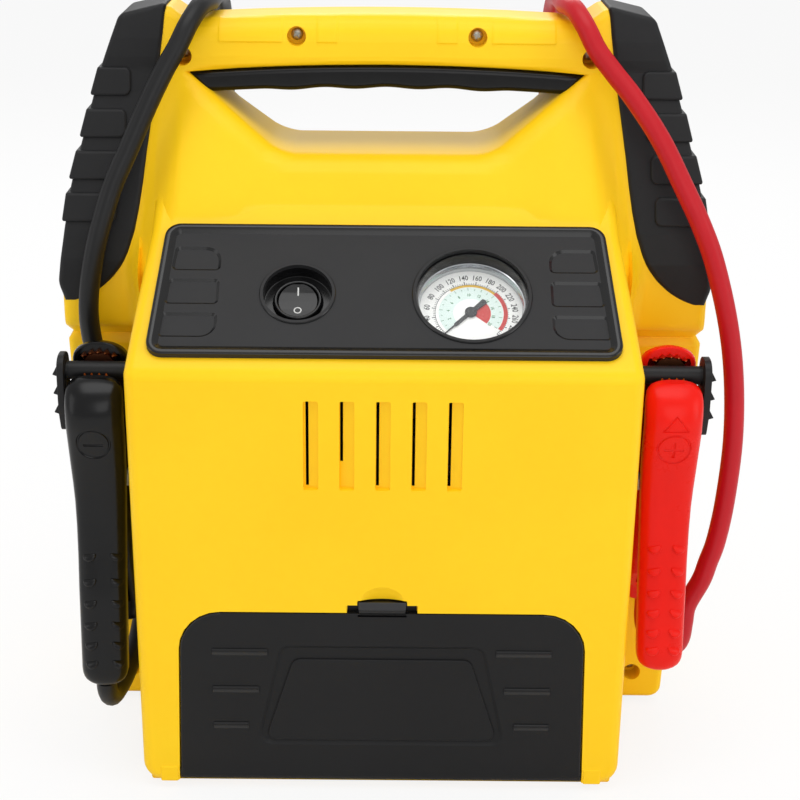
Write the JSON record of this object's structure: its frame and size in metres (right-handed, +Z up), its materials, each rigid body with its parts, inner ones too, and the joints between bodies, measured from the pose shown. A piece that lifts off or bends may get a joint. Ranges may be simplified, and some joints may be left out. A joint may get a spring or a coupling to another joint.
{
  "type": "jump starter pack",
  "caption": "Yellow portable jump starter pack with tyre compressor, pressure gauge, hose door, black bumpers, carry handle and two booster clamps on their leads.",
  "frame": {"origin": "middle of the underside, where the feet meet the floor", "axes": "+X to the right and +Y to the rear as seen from the compressor side, +Z up"},
  "size_m": [0.3069, 0.1993, 0.3369],
  "materials": {
    "yellow_plastic": "fine spark texture, satin",
    "rubber": "soft matt rubber",
    "panel_plastic": "matt dark grey with a smoother rim",
    "door_plastic": "matt black",
    "black_plastic": "satin black",
    "black_gloss": "glossy black",
    "red_plastic": "satin red",
    "black_cable": "smooth PVC sheath",
    "red_cable": "smooth PVC sheath",
    "copper": "copper-plated steel",
    "brass": "turned brass",
    "zinc": "zinc plated",
    "cast_alloy": "as cast",
    "dial_white": "printed white",
    "clear": "clear",
    "battery_case": "moulded ABS",
    "board_green": "solder mask",
    "led_green": "tinted, clear"
  },
  "bodies": {
    "pack": {"front_shell": "yellow_plastic", "rear_shell": "yellow_plastic", "left_bumper": "rubber", "right_bumper": "rubber", "handle_grip": "rubber", "control_panel": "panel_plastic", "gauge_case": "zinc", "gauge_dial": "dial_white", "gauge_lens": "clear", "switch_body": "black_gloss", "hose_bay": "black_plastic", "air_outlet": "brass", "compressor_mount": "zinc", "compressor_motor": "zinc", "compressor_pump": "cast_alloy", "battery": "battery_case", "battery_terminals": "brass", "control_board": "board_green", "rubber_feet": "rubber", "shell_screws": "zinc", "left_clamp_post": "black_plastic", "right_clamp_post": "black_plastic", "black_front_grip": "black_plastic", "black_front_jaw": "copper", "black_clamp_pin": "zinc", "black_clamp_spring": "zinc", "red_rear_grip": "red_plastic", "red_rear_jaw": "copper", "red_clamp_pin": "zinc", "red_clamp_spring": "zinc", "left_gland": "black_plastic", "right_gland": "black_plastic", "black_lead": "black_cable", "red_lead": "red_cable", "rear_panel": "panel_plastic", "left_socket": "black_plastic", "right_socket": "black_plastic", "charge_port": "black_plastic", "status_lights": "led_green", "lamp_board": "dial_white", "lamp_lens": "clear"},
    "needle": {"gauge_needle": "black_plastic"},
    "switch": {"switch_rocker": "black_gloss"},
    "door": {"hose_door": "door_plastic"},
    "latch": {"door_latch": "black_plastic"},
    "black_clamp": {"black_rear_grip": "black_plastic", "black_rear_jaw": "copper"},
    "red_clamp": {"red_front_grip": "red_plastic", "red_front_jaw": "copper"},
    "fan": {"cooling_fan": "black_plastic"},
    "left_cap": {"left_socket_cap": "rubber"},
    "right_cap": {"right_socket_cap": "rubber"},
    "port_cap": {"charge_cap": "rubber"},
    "button": {"test_button": "red_plastic"},
    "lamp_switch": {"lamp_rocker": "black_gloss"}
  },
  "joints": [
    {"name": "gauge_needle", "type": "hinge", "parent": "pack", "child": "needle", "pos_m": [0.037, -0.05363, 0.21738], "axis": [0, 0.5878, -0.809], "range_deg": [0, 270]},
    {"name": "compressor_switch", "type": "hinge", "parent": "pack", "child": "switch", "pos_m": [-0.037, -0.05257, 0.21592], "axis": [-1, 0, 0], "range_deg": [0, 14]},
    {"name": "hose_door", "type": "hinge", "parent": "pack", "child": "door", "pos_m": [0, -0.0861, 0.0072], "axis": [1, 0, 0], "range_deg": [0, 90]},
    {"name": "door_latch", "type": "slide", "parent": "door", "child": "latch", "axis": [0, 0, -1], "range_m": [0, 0.0015], "stiffness_N_per_m": 300, "springref_m": -0.0005},
    {"name": "black_clamp", "type": "hinge", "parent": "pack", "child": "black_clamp", "pos_m": [-0.123, -0.058, 0.138], "axis": [-1, 0, 0], "range_deg": [0, 15], "stiffness_Nm_per_rad": 1.5, "springref_deg": -17.19},
    {"name": "red_clamp", "type": "hinge", "parent": "pack", "child": "red_clamp", "pos_m": [0.123, -0.058, 0.138], "axis": [1, 0, 0], "range_deg": [0, 21], "stiffness_Nm_per_rad": 1.5, "springref_deg": -17.19},
    {"name": "cooling_fan", "type": "hinge", "parent": "pack", "child": "fan", "pos_m": [0, -0.0715, 0.16], "axis": [0, 1, 0], "continuous": true},
    {"name": "left_socket_cap", "type": "hinge", "parent": "pack", "child": "left_cap", "pos_m": [-0.11, 0.0864, 0.1567], "axis": [1, 0, 0], "range_deg": [0, 120]},
    {"name": "right_socket_cap", "type": "hinge", "parent": "pack", "child": "right_cap", "pos_m": [0.11, 0.0864, 0.1567], "axis": [1, 0, 0], "range_deg": [0, 120]},
    {"name": "charge_cap", "type": "hinge", "parent": "pack", "child": "port_cap", "pos_m": [0.056, 0.0864, 0.1332], "axis": [1, 0, 0], "range_deg": [0, 120]},
    {"name": "test_button", "type": "slide", "parent": "pack", "child": "button", "axis": [0, -1, 0], "range_m": [0, 0.0015], "stiffness_N_per_m": 300, "springref_m": -0.0005},
    {"name": "lamp_switch", "type": "hinge", "parent": "pack", "child": "lamp_switch", "pos_m": [-0.056, 0.0815, 0.152], "axis": [-1, 0, 0], "range_deg": [0, 16]}
  ]
}
